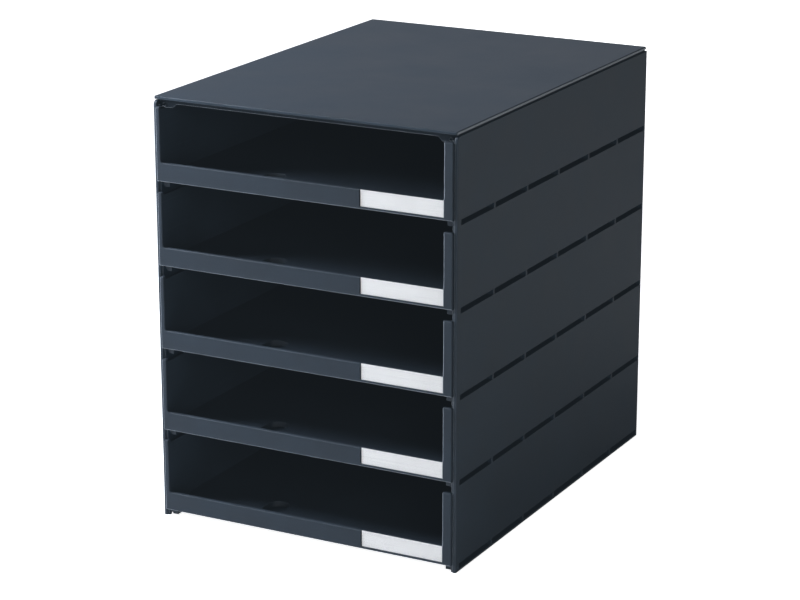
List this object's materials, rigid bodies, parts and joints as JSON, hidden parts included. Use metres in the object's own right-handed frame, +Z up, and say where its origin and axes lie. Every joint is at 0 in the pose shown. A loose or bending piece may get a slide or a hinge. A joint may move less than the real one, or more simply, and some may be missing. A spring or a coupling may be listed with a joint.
{
  "type": "letter tray stack with drawers",
  "caption": "Open-fronted desktop letter tray stack: plug-together box with pull-out paper trays, each with a label at its lower right.",
  "frame": {"origin": "on the table, under the middle of the object with its trays pushed in", "axes": "+Z up, +Y from the open front to the back, +X to the right as seen from the front"},
  "size_m": [0.246, 0.332, 0.323],
  "materials": {
    "housing_plastic": "fine matt grain",
    "tray_plastic": "fine matt grain",
    "label_card": "plain white card",
    "label_cover": "clear, smooth"
  },
  "bodies": {
    "housing": {"side_panel_left": "housing_plastic", "side_panel_right": "housing_plastic", "back_panel": "housing_plastic", "top_frame": "housing_plastic", "lid": "housing_plastic", "shelf_1": "housing_plastic", "shelf_2": "housing_plastic", "shelf_3": "housing_plastic", "shelf_4": "housing_plastic", "shelf_5": "housing_plastic"},
    "drawer_1": {"tray_1": "tray_plastic", "label_card_1": "label_card", "label_window_1": "label_cover"},
    "drawer_2": {"tray_2": "tray_plastic", "label_card_2": "label_card", "label_window_2": "label_cover"},
    "drawer_3": {"tray_3": "tray_plastic", "label_card_3": "label_card", "label_window_3": "label_cover"},
    "drawer_4": {"tray_4": "tray_plastic", "label_card_4": "label_card", "label_window_4": "label_cover"},
    "drawer_5": {"tray_5": "tray_plastic", "label_card_5": "label_card", "label_window_5": "label_cover"}
  },
  "joints": [
    {"name": "drawer_1_slide", "type": "slide", "parent": "housing", "child": "drawer_1", "axis": [0, -1, 0], "range_m": [0, 0.24]},
    {"name": "drawer_2_slide", "type": "slide", "parent": "housing", "child": "drawer_2", "axis": [0, -1, 0], "range_m": [0, 0.24]},
    {"name": "drawer_3_slide", "type": "slide", "parent": "housing", "child": "drawer_3", "axis": [0, -1, 0], "range_m": [0, 0.24]},
    {"name": "drawer_4_slide", "type": "slide", "parent": "housing", "child": "drawer_4", "axis": [0, -1, 0], "range_m": [0, 0.24]},
    {"name": "drawer_5_slide", "type": "slide", "parent": "housing", "child": "drawer_5", "axis": [0, -1, 0], "range_m": [0, 0.24]}
  ]
}
